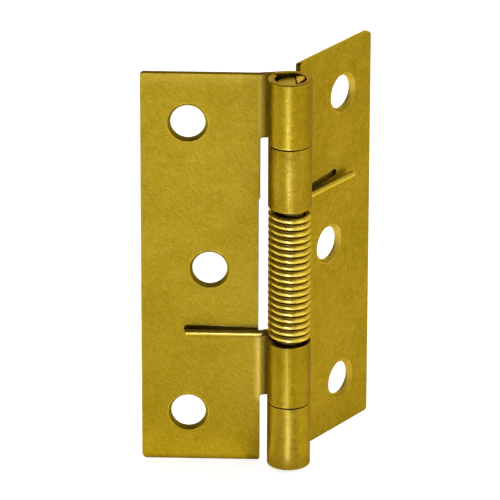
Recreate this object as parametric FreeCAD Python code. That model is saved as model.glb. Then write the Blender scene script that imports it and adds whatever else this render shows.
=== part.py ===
import FreeCAD, Part
import math
import os
from FreeCAD import Vector

# Sheet leaves, in millimetres: each is one piece of steel, folded into its own knuckles
sheet = 1.0
leaf_height = 70.0
leaf_width = 24.8
face_offset = 1.65
barrel_radius = 3.65
root_bend_angle = 11.5
root_bend_radius = 4.0
curl_end_angle = 150.0
edge_rounding = 0.12

# Knuckles: the one at the leaf's upper end, the notch at its lower end and the knuckle above that
end_knuckle = 11.3
end_notch = 12.0
inner_knuckle = 11.1
knuckle_notch = 4.95
spring_notch = 5.2
spring_notch_past = 0.45
notch_corner = 0.4
upper_corner = 0.6
lower_corner = 0.9

# Screw holes, from the pin axis, the outer ones at a share of the leaf's height from its middle
hole_radius = 2.9
countersink_radius = 3.4
countersink_depth = 0.5
outer_hole_reach = 16.95
outer_hole_share = 0.375
middle_hole_reach = 13.35

# Pressed seats for the spring's legs, as reach and height over the leaf's inner knuckle
seat_width = 1.3
seat_depth = 0.6
frame_seat = (4.0, 0.69, 17.05, 1.08)
door_seat = (6.4, -0.15, 14.65, -0.7)

# How the door leaf stands in the relaxed hinge: folded back past flat, and raised on the pin
rest_angle = 54.9
door_rise = 0.55

# Pin: each end is pinched off, which leaves a flat, a torn groove, a raised lip and a steep break
pin_clearance = 0.3
pin_short = 0.6
groove_reach = 0.8
groove_width = 0.25
groove_depth = 0.3
groove_turn = 5.7
flat_slope = 4.0
lip_start = -0.4
lip_slope = 15.0
lip_turn = -15.0
break_reach = 1.9
break_slope = 65.0
break_turn = -25.5

# Torsion spring
wire_radius = 0.55
coil_clearance = 0.17
coil_pitch = 1.195
coil_end_room = 1.35
leg_gap = 0.05
leg_bend_reach = 4.9
leg_bend_radius = 1.5
leg_level_radius = 6.0
frame_leg = (0.15, 17.3, 0.05, 0.0)
door_leg = (0.8, 18.1, 0.7, 0.4)

# Sizes worked out from the ones above
half_height = leaf_height / 2
inner_low = end_notch - half_height
inner_high = inner_low + inner_knuckle
spring_room_top = door_rise - inner_high
mid_face = face_offset + sheet / 2
curl_radius = barrel_radius - sheet / 2
bore_radius = barrel_radius - sheet
pin_radius = bore_radius - pin_clearance
coil_radius = pin_radius + coil_clearance + wire_radius
front_turns = int((spring_room_top - inner_high - 2 * coil_end_room) / coil_pitch)
lowest_front = inner_high + coil_end_room
Z = Vector(0, 0, 1)
ORIGIN = Vector(0, 0, 0)


def polar(radius, degrees, height=0.0):
    angle = math.radians(degrees)
    return Vector(radius * math.cos(angle), radius * math.sin(angle), height)


def arc(center, radius, start, end):
    points = [center + polar(radius, angle) for angle in (start, (start + end) / 2, end)]
    return Part.Arc(*points).toShape()


def line(start, end):
    return Part.LineSegment(start, end).toShape()


def leaf_section():
    # The sheet seen along the pin: flat leaf, root bend towards the back, then the curl
    slope = math.radians(root_bend_angle)
    bend_reach = (
        curl_radius + root_bend_radius - (mid_face + root_bend_radius) * math.cos(slope)
    ) / math.sin(slope)
    bend_center = Vector(-bend_reach, mid_face + root_bend_radius, 0)
    bend_end = root_bend_angle - 90
    curl_start = 90 + root_bend_angle
    curl_end = curl_end_angle - 360

    def side(offset):
        # Front face for a negative offset from the middle of the sheet, back face for a positive one
        bend = root_bend_radius - offset
        curl = curl_radius + offset
        return [
            line(Vector(-leaf_width, mid_face + offset, 0), bend_center + polar(bend, -90)),
            arc(bend_center, bend, -90, bend_end),
            line(bend_center + polar(bend, bend_end), polar(curl, curl_start)),
            arc(ORIGIN, curl, curl_start, curl_end),
        ]

    outer_edge = line(
        Vector(-leaf_width, face_offset, 0), Vector(-leaf_width, face_offset + sheet, 0)
    )
    free_end = line(polar(bore_radius, curl_end), polar(barrel_radius, curl_end))
    edges = side(-sheet / 2) + side(sheet / 2) + [outer_edge, free_end]
    return Part.Face(Part.Wire(Part.__sortEdges__(edges)))


def across_edges(shape, reach, height):
    # The edges through the sheet's thickness at one corner of the leaf's outline
    found = []
    for edge in shape.Edges:
        ends = [vertex.Point for vertex in edge.Vertexes]
        at_corner = all(
            abs(point.x + reach) < 0.01 and abs(point.z - height) < 0.01 for point in ends
        )
        if len(ends) == 2 and at_corner:
            found.append(edge)
    return found


def notch(reach, low, high):
    # The room cut away for the other leaf's knuckle or the spring, with rounded inner corners
    depth = 4 * barrel_radius
    block = Part.makeBox(
        reach + depth, depth, high - low, Vector(-reach, -depth / 2, low)
    )
    corners = [edge for z in (low, high) for edge in across_edges(block, reach, z)]
    return block.makeFillet(notch_corner, corners)


def screw_hole(reach, height):
    start = Vector(-reach, face_offset, height)
    inward = Vector(0, 1, 0)
    hole = Part.makeCylinder(hole_radius, sheet, start, inward)
    sink = Part.makeCone(countersink_radius, hole_radius, countersink_depth, start, inward)
    return hole.fuse(sink)


def leg_seat(start_reach, start_height, end_reach, end_height):
    # A round-ended channel sunk in the front face
    floor = face_offset + seat_depth
    start = Vector(-start_reach, floor, inner_high + start_height)
    end = Vector(-end_reach, floor, inner_high + end_height)
    along = end - start
    tilt = math.degrees(math.atan2(along.z, -along.x))
    channel = Part.makeBox(
        along.Length, sheet, seat_width, Vector(0, -sheet, -seat_width / 2)
    )
    channel.rotate(ORIGIN, Vector(0, 1, 0), 180 + tilt)
    channel.translate(start)
    ends = [
        Part.makeCylinder(seat_width / 2, sheet, point, Vector(0, -1, 0)) for point in (start, end)
    ]
    return channel.fuse(ends)


def normal_at(face, point):
    return face.normalAt(*face.Surface.parameter(point))


def punched_edges(shape):
    # Every sharp edge between a face of the sheet and a cut wall
    found = []
    for edge in shape.Edges:
        middle = edge.valueAt((edge.FirstParameter + edge.LastParameter) / 2)
        first, second = (
            normal_at(face, middle) for face in shape.ancestorsOfType(edge, Part.Face)
        )
        ends = [vertex.Point for vertex in edge.Vertexes]
        crosses_sheet = abs(ends[0].distanceToPoint(ends[-1]) - sheet) < 0.05 * sheet
        if first.getAngle(second) > math.radians(30) and not crosses_sheet:
            found.append(edge)
    return found


def leaf(seat):
    blank = leaf_section().extrude(Z * leaf_height)
    blank.translate(Z * -half_height)
    room = notch(knuckle_notch, inner_high, half_height - end_knuckle).fuse(
        [
            notch(spring_notch, inner_high, spring_room_top + spring_notch_past),
            notch(knuckle_notch, -leaf_height, inner_low),
        ]
    )
    blank = blank.cut(room)
    corners = (
        (leaf_width, half_height, upper_corner),
        (leaf_width, -half_height, lower_corner),
        (knuckle_notch, -half_height, notch_corner),
    )
    for reach, height, radius in corners:
        blank = blank.makeFillet(radius, across_edges(blank, reach, height))
    blank = blank.makeFillet(edge_rounding, punched_edges(blank))
    outer_hole_height = outer_hole_share * leaf_height
    tools = [
        screw_hole(outer_hole_reach, outer_hole_height),
        screw_hole(outer_hole_reach, -outer_hole_height),
        screw_hole(middle_hole_reach, 0),
        leg_seat(*seat),
    ]
    return blank.cut(tools).removeSplitter()


def slope(reach, height, turn, angle):
    # What lies over a slope that starts at a distance from the pin's middle and climbs outwards
    wide = 4 * pin_radius
    block = Part.makeBox(wide, 2 * wide, wide, Vector(0, -wide, 0))
    block.rotate(ORIGIN, Vector(0, 1, 0), -angle)
    block.translate(Vector(reach, 0, height))
    block.rotate(ORIGIN, Z, turn)
    return block


def pinched_end():
    # Everything that pinching off the rod takes from its end, for a rod that ends at height 0
    wide = 4 * pin_radius
    groove = Part.makeBox(
        groove_width, wide, wide, Vector(groove_reach, -wide / 2, -pin_short - groove_depth)
    )
    groove.rotate(ORIGIN, Z, groove_turn)
    groove_middle = groove_reach + groove_width / 2
    flat = slope(-groove_middle, -pin_short, 180 + groove_turn, -flat_slope)
    lip = slope(lip_start, -pin_short, lip_turn, lip_slope)
    lip_rise = (break_reach - lip_start) * math.tan(math.radians(lip_slope))
    broken = slope(break_reach, lip_rise - pin_short, break_turn, -break_slope)
    return flat.fuse([groove, lip, broken])


def hinge_pin():
    # The rod spans the knuckles, from the door leaf's lower end to the frame leaf's upper end
    bottom = door_rise - half_height
    rod = Part.makeCylinder(pin_radius, half_height - bottom, Vector(0, 0, bottom))
    upper = pinched_end()
    lower = upper.copy()
    upper.translate(Z * half_height)
    lower.rotate(ORIGIN, Vector(1, 0, 0), 180)
    lower.translate(Z * bottom)
    return rod.cut([upper, lower])


def bend_wire(points, radii):
    # Straight runs through the points, joined by tangent arcs
    edges = []
    last = points[0]
    for index, radius in enumerate(radii, start=1):
        corner = points[index]
        back = (points[index - 1] - corner).normalize()
        ahead = (points[index + 1] - corner).normalize()
        half_turn = (math.pi - back.getAngle(ahead)) / 2
        setback = radius * math.tan(half_turn)
        start = corner + back * setback
        end = corner + ahead * setback
        middle_way = (back + ahead).normalize()
        middle = corner + middle_way * (radius / math.cos(half_turn) - radius)
        edges.append(line(last, start))
        edges.append(Part.Arc(start, middle, end).toShape())
        last = end
    edges.append(line(last, points[-1]))
    return Part.Wire(edges)


def tube(path):
    start = path.Edges[0]
    at_start = start.valueAt(start.FirstParameter)
    tangent = start.tangentAt(start.FirstParameter)
    ring = Part.Wire(Part.makeCircle(wire_radius, at_start, tangent))
    return path.makePipeShell([ring], True, True)


def leg_corner():
    return Vector(-leg_bend_reach, face_offset - wire_radius - leg_gap, 0)


def leave_angle():
    # Where a straight line from the leg's bend at the notch touches the coil
    corner = leg_corner()
    to_corner = math.atan2(corner.y, leg_bend_reach)
    return 90 + math.degrees(math.asin(coil_radius / corner.Length) - to_corner)


def spring_leg(leave_height, level_share, reach, lift, climb):
    # A leg in the frame of a leaf along -X: off the coil, forward past the notch, along the face
    angle = leave_angle()
    leave = polar(coil_radius, angle, leave_height)
    corner = leg_corner() + Z * leave_height
    run = corner - leave
    level = leave + run * level_share
    level.z -= run.Length * level_share * coil_pitch / (2 * math.pi * coil_radius)
    corner.z = level.z
    tip = Vector(-reach, corner.y - lift, corner.z - climb)
    return tube(bend_wire([leave, level, corner, tip], [leg_level_radius, leg_bend_radius]))


def to_door_leaf(shape):
    # Turned end for end in its own plane, folded back past flat and raised on the pin
    shape.rotate(ORIGIN, Vector(0, 1, 0), 180)
    shape.rotate(ORIGIN, Z, rest_angle)
    shape.translate(Z * door_rise)
    return shape


def torsion_spring():
    # A left-hand coil, with its lower leg on the frame leaf and its upper leg on the door leaf
    low_angle = leave_angle()
    high_angle = 180 - leave_angle() + rest_angle
    low = lowest_front - coil_pitch * (low_angle + 90) / 360
    turns = front_turns + 1 + (low_angle - high_angle) / 360
    high = low + coil_pitch * turns
    helix = Part.makeHelix(coil_pitch, high - low, coil_radius, 0, True)
    coil = tube(helix)
    coil.rotate(ORIGIN, Z, low_angle)
    coil.translate(Z * low)
    upper = to_door_leaf(spring_leg(door_rise - high, *door_leg))
    return coil.fuse([spring_leg(low, *frame_leg), upper])


def export(node, shape):
    solids = shape.Solids
    if len(solids) != 1 or not shape.isValid():
        raise ValueError(node + " is not one valid solid")
    solids[0].exportStep("parts/" + node + ".step")
    box = solids[0].BoundBox
    print(node, round(solids[0].Volume, 2), box)


os.makedirs("parts", exist_ok=True)
export("frame_leaf", leaf(frame_seat))
export("door_leaf", to_door_leaf(leaf(door_seat)))
export("hinge_pin", hinge_pin())
export("torsion_spring", torsion_spring())
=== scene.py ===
import math

import bmesh
import bpy
from mathutils import Matrix, Vector


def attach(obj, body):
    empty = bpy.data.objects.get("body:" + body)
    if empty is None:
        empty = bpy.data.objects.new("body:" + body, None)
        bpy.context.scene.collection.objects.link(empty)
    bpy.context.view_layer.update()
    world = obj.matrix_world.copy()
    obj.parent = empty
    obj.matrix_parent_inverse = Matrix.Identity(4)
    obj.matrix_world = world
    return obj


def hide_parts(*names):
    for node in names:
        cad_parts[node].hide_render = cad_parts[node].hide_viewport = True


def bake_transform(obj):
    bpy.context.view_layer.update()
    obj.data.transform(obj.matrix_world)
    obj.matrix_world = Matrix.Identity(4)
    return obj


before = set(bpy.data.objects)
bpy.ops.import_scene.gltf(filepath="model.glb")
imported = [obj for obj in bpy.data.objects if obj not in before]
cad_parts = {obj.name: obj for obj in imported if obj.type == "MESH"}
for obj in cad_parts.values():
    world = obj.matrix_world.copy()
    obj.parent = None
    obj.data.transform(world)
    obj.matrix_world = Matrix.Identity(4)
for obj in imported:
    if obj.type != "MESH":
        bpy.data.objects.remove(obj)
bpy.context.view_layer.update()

MM = 0.001

# Camera, fitted to the outline and the holes
FOCAL_PX = 5221.434
PICTURE_PX = 500
SENSOR_WIDTH = 36.0
DISTANCE = 866.439 * MM
ELEVATION = 23.459
AZIMUTH = 1.954
ROLL = -0.146
TARGET = Vector((-6.567, 0.0, 4.325)) * MM

# Hinge sizes and places
PIN_AXIS = (0.0, 0.0, 1.0)
FLOOR_HEIGHT = -35.0 * MM
LOWER_KNUCKLE = -18.0 * MM
FACE_OFFSET = 1.65 * MM
REST_ANGLE = 54.9
DOOR_RISE = 0.55 * MM
WIRE_RADIUS = 0.55 * MM
COIL_RADIUS = 3.07 * MM
COIL_PITCH = 1.195 * MM
FRONT_TURNS = 18
LOWEST_FRONT = -10.55 * MM
LEG_GAP = 0.05 * MM
LEG_BEND_REACH = 4.9 * MM
LEG_BEND_RADIUS = 1.5 * MM
LEG_LEVEL_RADIUS = 6.0 * MM
FRAME_LEG = {"level_share": 0.15, "reach": 17.3 * MM, "lift": 0.05 * MM, "climb": 0.0}
DOOR_LEG = {"level_share": 0.8, "reach": 18.1 * MM, "lift": 0.7 * MM, "climb": 0.4 * MM}

# How finely the shapes are made
WIRE_SIDES = 20
STEPS_PER_TURN = 48
ROUTE_STEP = 0.12 * MM
MERGE_DISTANCE = 0.2e-6
SHEET_SHARP_ANGLE = 28
WIRE_SHARP_ANGLE = 40


def srgb(red, green, blue):
    """A colour written as seen, from 0 to 255, as the linear values that a shader takes."""
    def linear(value):
        value /= 255.0
        return value / 12.92 if value <= 0.04045 else ((value + 0.055) / 1.055) ** 2.4

    return (linear(red), linear(green), linear(blue), 1.0)


# Finish, beside the film's own colours
PALE_STROKE = srgb(216, 190, 100)
# Pale colour for rubbed wear and for painted highlights
WEAR_AND_HIGHLIGHT_PALE = srgb(238, 205, 74)
# Colour of painted shade
PAINTED_SHADE = srgb(58, 44, 10)
GRAZING_TINT = srgb(208, 184, 10)
BARREL_DEEPENING = (0.7, 0.67, 0.34)
# Width of the edges that are paled, as rubbed wear and painted highlight
EDGE_WEAR_AND_HIGHLIGHT = 0.24 * MM
HOLLOW_REACH = 1.6 * MM

# Patterns of the finish, as spots in a metre, and how they are drawn out
FINE_SPOTS = 3000.0
FLECK_SPOTS = 2600.0
GRAIN_SPOTS = 1300.0
PATCH_SPOTS = 320.0
CLOUD_SPOTS = 90.0
DRAWN_SPOTS = 1500.0
DRAWN_OUT = (1.0, 1.0, 0.06)
BRUSHED_SPOTS = 2400.0
BRUSHED_ACROSS = 0.7
BRUSHED_ALONG = 0.2


class Tree:
    """Short calls for building a node tree."""

    def __init__(self, tree):
        self.tree = tree

    def node(self, kind, inputs=None, **settings):
        made = self.tree.nodes.new(kind)
        for name, value in settings.items():
            setattr(made, name, value)
        for name, value in (inputs or {}).items():
            self.put(made.inputs[name], value)
        return made

    def put(self, socket, value):
        if isinstance(value, bpy.types.NodeSocket):
            self.tree.links.new(value, socket)
        else:
            socket.default_value = value

    def noise(self, place, scale, detail):
        made = self.node(
            "ShaderNodeTexNoise",
            {"Vector": place, "Scale": scale, "Detail": detail, "Roughness": 0.55},
        )
        return made.outputs["Fac"]

    def remap(self, value, low, high, to_low, to_high):
        made = self.node(
            "ShaderNodeMapRange",
            {"Value": value, "From Min": low, "From Max": high, "To Min": to_low, "To Max": to_high},
        )
        return made.outputs["Result"]

    def over(self, distance, low, high, to_low, to_high):
        """A remap of a distance, between two places given in millimetres."""
        return self.remap(distance, low * MM, high * MM, to_low, to_high)

    def band(self, distance, rise, fall, height):
        """A value that rises over one stretch of a distance and falls over another, in millimetres."""
        return self.math(
            "MULTIPLY", self.over(distance, *rise, 0.0, height), self.over(distance, *fall, 1.0, 0.0)
        )

    def vector(self, operation, first, second=(0.0, 0.0, 0.0)):
        """A vector worked out from one or two others."""
        made = self.node("ShaderNodeVectorMath", {0: first, 1: second}, operation=operation)
        return made.outputs["Vector"]

    def measure(self, operation, first, second=(0.0, 0.0, 0.0)):
        """A number worked out from one or two vectors."""
        made = self.node("ShaderNodeVectorMath", {0: first, 1: second}, operation=operation)
        return made.outputs["Value"]

    def math(self, operation, first, second=0.0):
        made = self.node("ShaderNodeMath", {0: first, 1: second}, operation=operation)
        return made.outputs[0]

    def combined(self, first, second):
        """A vector with these as X and Y, and with no Z."""
        return self.node("ShaderNodeCombineXYZ", {"X": first, "Y": second}).outputs["Vector"]

    def tint(self, factor, first, second):
        made = self.node("ShaderNodeMix", data_type="RGBA")
        self.put(made.inputs[0], factor)
        self.put(made.inputs[6], first)
        self.put(made.inputs[7], second)
        return made.outputs[2]

    def end(self, kind, shader):
        """Ends the tree in an output node of this kind."""
        self.put(self.node(kind).inputs["Surface"], shader)


def cleared_tree(owner):
    """The empty node tree of a material or of the world."""
    owner.use_nodes = True
    owner.node_tree.nodes.clear()
    return Tree(owner.node_tree)


class Place:
    """Where a point of the hinge is, and the patterns that its finish has there."""

    def __init__(self, tree):
        coordinates = tree.node("ShaderNodeTexCoord")
        self.object = coordinates.outputs["Object"]
        self.normal = coordinates.outputs["Normal"]
        split = tree.node("ShaderNodeSeparateXYZ", {"Vector": self.object})
        self.across = split.outputs["X"]
        self.height = split.outputs["Z"]
        self.flat = tree.combined(self.across, split.outputs["Y"])
        self.reach = tree.measure("LENGTH", self.flat)
        self.rolled = tree.over(self.reach, 3.8, 5.0, 1.0, 0.0)
        self.level = tree.math("SUBTRACT", 1.0, self.rolled)
        self.fine = tree.noise(self.object, FINE_SPOTS, 2.0)
        self.grain = tree.noise(self.object, GRAIN_SPOTS, 3.0)
        self.patches = tree.noise(self.object, PATCH_SPOTS, 2.0)
        self.cloud = tree.noise(self.object, CLOUD_SPOTS, 3.0)
        drawn = tree.noise(tree.vector("MULTIPLY", self.object, DRAWN_OUT), DRAWN_SPOTS, 2.0)
        self.streaks = tree.math("MULTIPLY", self.rolled, tree.remap(drawn, 0.3, 0.7, -0.03, 0.03))


def film_colour(tree, place, light, dark, barrel_tone):
    """The plated film: mottled at four scales, brushed on a slant, deeper in tone round the barrel."""
    slanted = tree.combined(
        tree.math("MULTIPLY", tree.math("SUBTRACT", place.reach, place.height), BRUSHED_ACROSS),
        tree.math("MULTIPLY", tree.math("ADD", place.reach, place.height), BRUSHED_ALONG),
    )
    brushed = tree.noise(slanted, BRUSHED_SPOTS, 2.0)
    lines = tree.math("MULTIPLY", place.level, tree.remap(brushed, 0.3, 0.7, -0.025, 0.025))
    mixed = tree.math("ADD", place.streaks, lines)
    for spots, share in ((place.grain, 0.34), (place.fine, 0.34), (place.patches, 0.16), (place.cloud, 0.16)):
        mixed = tree.math("ADD", mixed, tree.math("MULTIPLY", spots, share))
    colour = tree.tint(tree.remap(mixed, 0.35, 0.65, 0.0, 1.0), dark, light)
    flecks = tree.remap(tree.noise(place.object, FLECK_SPOTS, 1.0), 0.7, 0.78, 0.0, 0.2)
    strokes = tree.math("MULTIPLY", place.level, tree.remap(brushed, 0.48, 0.72, 0.0, 0.065))
    colour = tree.tint(tree.math("MAXIMUM", flecks, strokes), colour, PALE_STROKE)
    deeper = tree.vector("MULTIPLY", colour, BARREL_DEEPENING)
    return tree.tint(tree.math("MULTIPLY", place.rolled, barrel_tone), colour, deeper)


def cut_faces(tree, place):
    """The sheet's punched edges: faces of the flat leaf that don't look the way it swings."""
    swing = tree.vector("NORMALIZE", tree.vector("CROSS_PRODUCT", place.flat, PIN_AXIS))
    facing = tree.measure("DOT_PRODUCT", swing, place.normal)
    turned_away = tree.remap(tree.math("ABSOLUTE", facing), 0.9, 0.4, 0.0, 1.0)
    return tree.math("MULTIPLY", turned_away, place.level)


def edge_wear_and_highlight(tree, place):
    """Sharp edges, pale in broken stretches: partly rubbed wear, partly a painted edge highlight."""
    geometry = tree.node("ShaderNodeNewGeometry")
    soft_edge = tree.node("ShaderNodeBevel", {"Radius": EDGE_WEAR_AND_HIGHLIGHT}, samples=6)
    turned = tree.measure("DOT_PRODUCT", soft_edge.outputs["Normal"], geometry.outputs["Normal"])
    broken = tree.remap(place.patches, 0.4, 0.6, 0.35, 1.0)
    return tree.math("MULTIPLY", tree.remap(turned, 0.998, 0.93, 0.0, 0.9), broken)


def painted_bend_highlight(tree, place):
    """Painted highlight along the frame leaf's bend: strongest at the lower knuckle, and faint at its top."""
    rise = tree.over(place.across, -6.4, -5.1, 0.0, 1.0)
    fall = tree.over(place.across, -5.0, -4.65, 1.0, 0.0)
    from_knuckle = tree.math("ABSOLUTE", tree.math("SUBTRACT", place.height, LOWER_KNUCKLE))
    lower = tree.math("MULTIPLY", tree.math("MULTIPLY", rise, rise), fall)
    lower = tree.math("MULTIPLY", lower, tree.over(from_knuckle, 5.3, 6.4, 0.75, 0.0))
    upper = tree.band(place.across, (-5.6, -4.95), (-4.85, -4.6), 0.3)
    upper = tree.math("MULTIPLY", upper, tree.over(place.height, 22.0, 24.0, 0.0, 1.0))
    top = tree.math("MULTIPLY", fall, tree.over(place.height, 32.8, 34.6, 0.0, 0.16))
    highlight_mask = tree.math("MAXIMUM", tree.math("MAXIMUM", lower, upper), top)
    return tree.math("MULTIPLY", highlight_mask, tree.remap(place.grain, 0.35, 0.6, 0.7, 1.0))


def painted_shade_places(tree, place, cut, hollow_shade, cut_shade):
    """Painted shade: in the hollows that ambient occlusion finds, in the valley beside the barrel and on the
    punched edges.
    """
    # Painted shade where ambient occlusion finds a hollow
    hollow = tree.node("ShaderNodeAmbientOcclusion", {"Distance": HOLLOW_REACH}, samples=8)
    shade_mask = tree.remap(hollow.outputs["AO"], 0.85, 0.3, 0.0, hollow_shade)
    barrel_face = tree.band(place.reach, (3.5, 3.6), (3.7, 3.8), 0.8)
    shade_mask = tree.math("MULTIPLY", shade_mask, tree.math("SUBTRACT", 1.0, barrel_face))
    # Painted shade in the valley between the flat leaf and the barrel
    valley = tree.band(place.reach, (3.7, 3.8), (4.5, 4.8), 0.7)
    # Painted shade on the punched edges near the barrel, and on every punched edge as strongly as asked
    shaded_notch_edge = tree.math("MULTIPLY", cut, tree.over(place.reach, 5.2, 6.5, 0.9, 0.0))
    for part in (valley, shaded_notch_edge, tree.math("MULTIPLY", cut, cut_shade)):
        shade_mask = tree.math("MAXIMUM", shade_mask, part)
    return shade_mask


def plated(
    name,
    light,
    dark,
    roughness,
    coat,
    hollow_shade,
    burnished=None,
    barrel_tone=0.0,
    cut_shade=0.0,
    cut_highlight=0.0,
    highlight_mask=None,
):
    """Yellow-plated steel: mottled film, painted shade in its hollows, and pale edges that are partly rubbed
    wear and partly painted highlight.
    """
    made = bpy.data.materials.new(name)
    tree = cleared_tree(made)
    place = Place(tree)
    cut = cut_faces(tree, place)
    wear_and_highlight = edge_wear_and_highlight(tree, place)
    # A painted highlight on the leaf, where one is given
    if highlight_mask:
        wear_and_highlight = tree.math("MAXIMUM", wear_and_highlight, highlight_mask(tree, place))
    wear_and_highlight = tree.math("MAXIMUM", wear_and_highlight, tree.math("MULTIPLY", cut, cut_highlight))
    colour = film_colour(tree, place, light, dark, barrel_tone)
    # Pale colour: rubbed wear and painted highlight on sharp edges, painted highlight on the bend and on cut
    # faces
    colour = tree.tint(wear_and_highlight, colour, WEAR_AND_HIGHLIGHT_PALE)
    # Painted shade: darker in the hollows, in the valley beside the barrel and on punched edges
    colour = tree.tint(painted_shade_places(tree, place, cut, hollow_shade, cut_shade), colour, PAINTED_SHADE)
    gloss = tree.remap(place.rolled, 0.0, 1.0, roughness, burnished or roughness)
    gloss = tree.math("ADD", gloss, tree.remap(place.grain, 0.3, 0.7, -0.06, 0.06))
    gloss = tree.math("ADD", gloss, place.streaks)
    relief = tree.math("ADD", place.grain, tree.math("MULTIPLY", place.fine, 0.5))
    bump = tree.node("ShaderNodeBump", {"Strength": 0.6, "Distance": 0.1 * MM, "Height": relief})
    shader = tree.node(
        "ShaderNodeBsdfPrincipled",
        {
            "Base Color": colour,
            "Metallic": 1.0,
            "Specular Tint": GRAZING_TINT,
            "Roughness": gloss,
            "Coat Weight": tree.math("MULTIPLY", place.rolled, coat),
            "Coat Roughness": 0.25,
            "Normal": bump.outputs["Normal"],
        },
    )
    tree.end("ShaderNodeOutputMaterial", shader.outputs["BSDF"])
    return made


LEAF_FILM = {
    "roughness": 0.66,
    "coat": 0.06,
    # Strength of the painted shade in the hollows
    "hollow_shade": 0.9,
    "burnished": 0.41,
    "barrel_tone": 1.0,
}
# The frame leaf's punched edges get painted shade, and its bend a painted highlight
frame_plating = plated(
    "frame_plating", srgb(172, 146, 27), srgb(135, 111, 3), cut_shade=0.6, highlight_mask=painted_bend_highlight, **LEAF_FILM
)
# The door leaf's punched edges get a painted highlight
door_plating = plated("door_plating", srgb(178, 151, 45), srgb(140, 115, 12), cut_highlight=0.5, **LEAF_FILM)
pin_plating = plated(
    "pin_plating", srgb(190, 164, 56), srgb(160, 134, 28), roughness=0.5, coat=0.1, hollow_shade=0.9
)
# The wire's hollows get painted shade, darker between the coil's turns
wire_plating = plated(
    "wire_plating", srgb(208, 182, 72), srgb(176, 148, 36), roughness=0.33, coat=0.1, hollow_shade=0.5
)


def smooth_copy(node, name, material, body):
    """A CAD node's solid with its facets joined, so that its folds and curls shade smoothly."""
    made = bpy.data.objects.new(name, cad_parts[node].data.copy())
    bpy.context.scene.collection.objects.link(made)
    mesh = bmesh.new()
    mesh.from_mesh(made.data)
    bmesh.ops.remove_doubles(mesh, verts=mesh.verts, dist=MERGE_DISTANCE)
    mesh.to_mesh(made.data)
    mesh.free()
    stored = made.data.attributes.get("custom_normal")
    if stored:
        made.data.attributes.remove(stored)
    made.data.materials.clear()
    made.data.materials.append(material)
    made.data.polygons.foreach_set("use_smooth", [True] * len(made.data.polygons))
    made.data.set_sharp_from_angle(angle=math.radians(SHEET_SHARP_ANGLE))
    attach(made, body)
    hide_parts(node)


def polar(radius, degrees, height=0.0):
    angle = math.radians(degrees)
    return Vector((radius * math.cos(angle), radius * math.sin(angle), height))


def rounded_route(points, radii):
    """Straight runs through the points, joined by tangent arcs, as closely spaced points."""
    route = [points[0]]
    for index, radius in enumerate(radii, start=1):
        corner = points[index]
        back = (points[index - 1] - corner).normalized()
        ahead = (points[index + 1] - corner).normalized()
        half_turn = (math.pi - back.angle(ahead)) / 2
        start = corner + back * radius * math.tan(half_turn)
        middle_way = (back + ahead).normalized()
        center = corner + middle_way * (radius / math.cos(half_turn))
        arm = start - center
        axis = back.cross(ahead).normalized()
        count = max(4, int(2 * half_turn * radius / ROUTE_STEP))
        for i in range(count + 1):
            turn = Matrix.Rotation(-2 * half_turn * i / count, 3, axis)
            route.append(center + turn @ arm)
    route.append(points[-1])
    return route


# Where a leg bends on its leaf, and the angle at which the wire leaves the coil for it
LEG_CORNER = Vector((-LEG_BEND_REACH, FACE_OFFSET - WIRE_RADIUS - LEG_GAP, 0.0))
LEAVE_ANGLE = 90 + math.degrees(
    math.asin(COIL_RADIUS / LEG_CORNER.length) - math.atan2(LEG_CORNER.y, LEG_BEND_REACH)
)


def leg_route(leave_height, level_share, reach, lift, climb):
    """A leg in the frame of a leaf along -X, from the coil to the tip."""
    leave = polar(COIL_RADIUS, LEAVE_ANGLE, leave_height)
    corner = LEG_CORNER + Vector((0, 0, leave_height))
    run = corner - leave
    level = leave + run * level_share
    level.z -= run.length * level_share * COIL_PITCH / (2 * math.pi * COIL_RADIUS)
    corner.z = level.z
    tip = Vector((-reach, corner.y - lift, corner.z - climb))
    return rounded_route([leave, level, corner, tip], [LEG_LEVEL_RADIUS, LEG_BEND_RADIUS])


def spring_route():
    """The wire's middle line: lower leg, left-hand coil, upper leg."""
    high_angle = 180 - LEAVE_ANGLE + REST_ANGLE
    low = LOWEST_FRONT - COIL_PITCH * (LEAVE_ANGLE + 90) / 360
    turns = FRONT_TURNS + 1 + (LEAVE_ANGLE - high_angle) / 360
    high = low + COIL_PITCH * turns
    steps = int(turns * STEPS_PER_TURN)
    coil = [
        polar(COIL_RADIUS, LEAVE_ANGLE - 360 * turns * i / steps, low + (high - low) * i / steps)
        for i in range(steps + 1)
    ]
    lower = leg_route(low, **FRAME_LEG)
    upper = leg_route(DOOR_RISE - high, **DOOR_LEG)
    turned = Matrix.Rotation(math.radians(REST_ANGLE), 4, "Z") @ Matrix.Rotation(math.pi, 4, "Y")
    upper = [turned @ point + Vector((0, 0, DOOR_RISE)) for point in upper]
    return lower[::-1] + coil[1:-1] + upper, low, high


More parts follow.
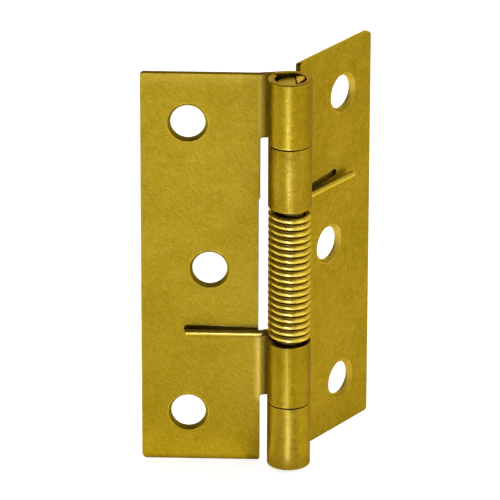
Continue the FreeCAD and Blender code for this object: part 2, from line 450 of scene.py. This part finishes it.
def wire_tree():
    """Geometry Nodes that sweep a round wire along a route."""
    tree = bpy.data.node_groups.new("spring_wire", "GeometryNodeTree")
    tree.interface.new_socket("Route", in_out="INPUT", socket_type="NodeSocketGeometry")
    radius = tree.interface.new_socket("Wire Radius", in_out="INPUT", socket_type="NodeSocketFloat")
    sides = tree.interface.new_socket("Sides", in_out="INPUT", socket_type="NodeSocketInt")
    plating = tree.interface.new_socket("Plating", in_out="INPUT", socket_type="NodeSocketMaterial")
    tree.interface.new_socket("Wire", in_out="OUTPUT", socket_type="NodeSocketGeometry")
    build = Tree(tree)
    given = build.node("NodeGroupInput")
    curve = build.node("GeometryNodeMeshToCurve", {"Mesh": given.outputs["Route"]})
    ring = build.node(
        "GeometryNodeCurvePrimitiveCircle",
        {"Radius": given.outputs["Wire Radius"], "Resolution": given.outputs["Sides"]},
    )
    swept = build.node(
        "GeometryNodeCurveToMesh",
        {
            "Curve": curve.outputs["Curve"],
            "Profile Curve": ring.outputs["Curve"],
            "Fill Caps": True,
        },
    )
    real = build.node("GeometryNodeRealizeInstances", {"Geometry": swept.outputs["Mesh"]})
    coated = build.node(
        "GeometryNodeSetMaterial",
        {"Geometry": real.outputs["Geometry"], "Material": given.outputs["Plating"]},
    )
    out = build.node("NodeGroupOutput")
    tree.links.new(coated.outputs["Geometry"], out.inputs["Wire"])
    return tree, {"radius": radius.identifier, "sides": sides.identifier, "plating": plating.identifier}


def torsion_spring():
    """The wire swept along its route, from its leg on the frame leaf, round the coil, to its leg on the door
    leaf.
    """
    route, low, high = spring_route()
    path = bpy.data.meshes.new("torsion_spring_wire")
    links = [(i, i + 1) for i in range(len(route) - 1)]
    path.from_pydata([tuple(point) for point in route], links, [])
    made = bpy.data.objects.new("torsion_spring_wire", path)
    bpy.context.scene.collection.objects.link(made)
    tree, sockets = wire_tree()
    sweep = made.modifiers.new("sweep", "NODES")
    sweep.node_group = tree
    sweep[sockets["radius"]] = WIRE_RADIUS
    sweep[sockets["sides"]] = WIRE_SIDES
    sweep[sockets["plating"]] = wire_plating
    bpy.context.view_layer.update()
    ready = made.evaluated_get(bpy.context.evaluated_depsgraph_get())
    swept = bpy.data.meshes.new_from_object(ready)
    made.modifiers.clear()
    made.data = swept
    for face in swept.polygons:
        face.use_smooth = True
    swept.set_sharp_from_angle(angle=math.radians(WIRE_SHARP_ANGLE))
    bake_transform(made)
    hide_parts("torsion_spring")


smooth_copy("frame_leaf", "frame_leaf_sheet", frame_plating, "frame")
smooth_copy("door_leaf", "door_leaf_sheet", door_plating, "door")
smooth_copy("hinge_pin", "hinge_pin_rod", pin_plating, "frame")
torsion_spring()


# Stage: the floor's colours and glow, near the hinge and far off
WHITE = (1.0, 1.0, 1.0, 1.0)
PAPER = (0.86, 0.86, 0.86, 1.0)
SHOWN_GLOW = 0.82
MIRRORED_GLOW = (0.87, 1.32)
FLOOR_REACH = 2.5

# Studio light: between which parts of the way up, right or back it changes, and from what to what
UPWARDS = (0.0, 0.5, 0.2, 0.1)
RIGHTWARDS = (0.1, 0.7, 0.0, 0.55)
BACKWARDS = (0.2, 0.7, 0.0, 0.6)

# Lamps: name, azimuth and elevation in degrees, power
LAMP_DISTANCE = 0.9
LAMP_SIZE = 0.8
LAMPS = (
    ("side_lamp", 62.0, 2.0, 1.9),
    ("back_lamp", 190.0, 8.0, 3.2),
)

# Cards on the floor: name, azimuth and half width in degrees, nearest and farthest edge in mm, light
CARD_HEIGHT = 0.3 * MM
FLOOR_CARDS = (
    ("near_streak_card", -1.5, 4.6, 8.0, 58.0, (10.5, 12.2, 44.0)),
    ("front_card", -38.0, 24.0, 8.0, 58.0, (1.4, 1.4, 1.4)),
    ("far_streak_card", -9.5, 4.0, 91.0, 200.0, (24.0, 27.8, 96.0)),
    ("near_left_card", -94.0, 26.0, 8.0, 58.0, (2.2, 2.2, 2.2)),
    ("far_left_card", -94.0, 26.0, 97.0, 200.0, (2.8, 2.8, 2.8)),
    ("right_card", 80.0, 36.0, 8.0, 90.0, (1.9, 1.9, 1.9)),
)


def way_out(azimuth, elevation):
    """The way from the hinge towards an azimuth and elevation in degrees, as a unit vector."""
    a, e = math.radians(azimuth), math.radians(elevation)
    return Vector((math.sin(a) * math.cos(e), -math.cos(a) * math.cos(e), math.sin(e)))


def pale_floor():
    """Paper that the camera sees as white, with a glow for the metal that is dimmer near the hinge."""
    mesh = bpy.data.meshes.new("floor")
    corners = [(-1, -1), (1, -1), (1, 1), (-1, 1)]
    mesh.from_pydata([(x * FLOOR_REACH, y * FLOOR_REACH, 0.0) for x, y in corners], [], [(0, 1, 2, 3)])
    made = bpy.data.objects.new("floor", mesh)
    made.location.z = FLOOR_HEIGHT
    bpy.context.scene.collection.objects.link(made)
    material = bpy.data.materials.new("pale_floor")
    tree = cleared_tree(material)
    paper = tree.node("ShaderNodeBsdfDiffuse", {"Color": PAPER})
    path = tree.node("ShaderNodeLightPath")
    shown = tree.math("MULTIPLY", path.outputs["Is Camera Ray"], SHOWN_GLOW)
    place = tree.node("ShaderNodeTexCoord").outputs["Object"]
    reach = tree.measure("LENGTH", place)
    split = tree.node("ShaderNodeSeparateXYZ", {"Vector": place})
    beside = tree.math(
        "MULTIPLY",
        tree.over(split.outputs["X"], 40.0, 100.0, 0.0, 0.4),
        tree.over(split.outputs["Y"], -50.0, 20.0, 0.0, 1.0),
    )
    level = tree.math("SUBTRACT", tree.over(reach, 50.0, 130.0, *MIRRORED_GLOW), beside)
    mirrored = tree.math("MULTIPLY", path.outputs["Is Glossy Ray"], level)
    glow = tree.node("ShaderNodeEmission", {"Color": WHITE, "Strength": tree.math("ADD", shown, mirrored)})
    both = tree.node("ShaderNodeAddShader")
    tree.put(both.inputs[0], paper.outputs["BSDF"])
    tree.put(both.inputs[1], glow.outputs["Emission"])
    tree.end("ShaderNodeOutputMaterial", both.outputs["Shader"])
    made.data.materials.append(material)


def studio_world():
    """White where the camera looks, and a soft studio for the hinge: bright low down, dimmer overhead."""
    world = bpy.data.worlds.new("studio")
    bpy.context.scene.world = world
    tree = cleared_tree(world)
    place = tree.node("ShaderNodeTexCoord").outputs["Generated"]
    split = tree.node("ShaderNodeSeparateXYZ", {"Vector": place})
    light = tree.remap(split.outputs["Z"], *UPWARDS)
    light = tree.math("ADD", light, tree.remap(split.outputs["X"], *RIGHTWARDS))
    light = tree.math("ADD", light, tree.remap(split.outputs["Y"], *BACKWARDS))
    studio = tree.node("ShaderNodeBackground", {"Color": WHITE, "Strength": light})
    white = tree.node("ShaderNodeBackground", {"Color": WHITE, "Strength": 1.0})
    path = tree.node("ShaderNodeLightPath")
    seen = tree.math("MAXIMUM", path.outputs["Is Camera Ray"], path.outputs["Is Transmission Ray"])
    mix = tree.node("ShaderNodeMixShader", {"Fac": seen})
    tree.put(mix.inputs[1], studio.outputs["Background"])
    tree.put(mix.inputs[2], white.outputs["Background"])
    tree.end("ShaderNodeOutputWorld", mix.outputs["Shader"])


def soft_lamp(name, azimuth, elevation, power):
    """An area lamp that looks at the hinge. Azimuth 0 is in front, 90 on the right."""
    way = way_out(azimuth, elevation)
    data = bpy.data.lights.new(name, "AREA")
    data.shape = "DISK"
    data.size = LAMP_SIZE
    data.energy = power
    made = bpy.data.objects.new(name, data)
    made.location = TARGET + way * LAMP_DISTANCE
    made.rotation_mode = "QUATERNION"
    made.rotation_quaternion = (-way).to_track_quat("-Z", "Y")
    bpy.context.scene.collection.objects.link(made)


def floor_card(name, azimuth, half_angle, near, far, light):
    """A lit wedge of card on the floor, out of the camera's sight, for light from low down."""
    corners = []
    for reach, side in ((near, 1), (far, 1), (far, -1), (near, -1)):
        corner = way_out(azimuth + side * half_angle, 0.0) * reach * MM
        corners.append((corner.x, corner.y, FLOOR_HEIGHT + CARD_HEIGHT))
    mesh = bpy.data.meshes.new(name)
    mesh.from_pydata(corners, [], [(3, 2, 1, 0)])
    made = bpy.data.objects.new(name, mesh)
    bpy.context.scene.collection.objects.link(made)
    material = bpy.data.materials.new(name)
    tree = cleared_tree(material)
    strongest = max(light)
    colour = tuple(part / strongest for part in light) + (1.0,)
    glow = tree.node("ShaderNodeEmission", {"Color": colour, "Strength": strongest})
    tree.end("ShaderNodeOutputMaterial", glow.outputs["Emission"])
    made.data.materials.append(material)
    made.visible_camera = False
    made.visible_diffuse = False
    made.visible_shadow = False


def main_camera():
    """The photo's camera, as far off and as high as the fit gives."""
    azimuth, roll = math.radians(AZIMUTH), math.radians(ROLL)
    back = way_out(AZIMUTH, ELEVATION)
    level = Vector((math.cos(azimuth), math.sin(azimuth), 0.0))
    upright = back.cross(level)
    right = level * math.cos(roll) - upright * math.sin(roll)
    up = upright * math.cos(roll) + level * math.sin(roll)
    data = bpy.data.cameras.new("camera")
    data.sensor_width = SENSOR_WIDTH
    data.lens = FOCAL_PX / PICTURE_PX * SENSOR_WIDTH
    data.clip_start = 0.05
    data.clip_end = 20.0
    made = bpy.data.objects.new("camera", data)
    turn = Matrix((right, up, back)).transposed().to_4x4()
    turn.translation = TARGET + back * DISTANCE
    made.matrix_world = turn
    bpy.context.scene.collection.objects.link(made)
    bpy.context.scene.camera = made


pale_floor()
studio_world()
for lamp in LAMPS:
    soft_lamp(*lamp)
for card in FLOOR_CARDS:
    floor_card(*card)
main_camera()
bpy.context.scene.view_settings.view_transform = "Standard"
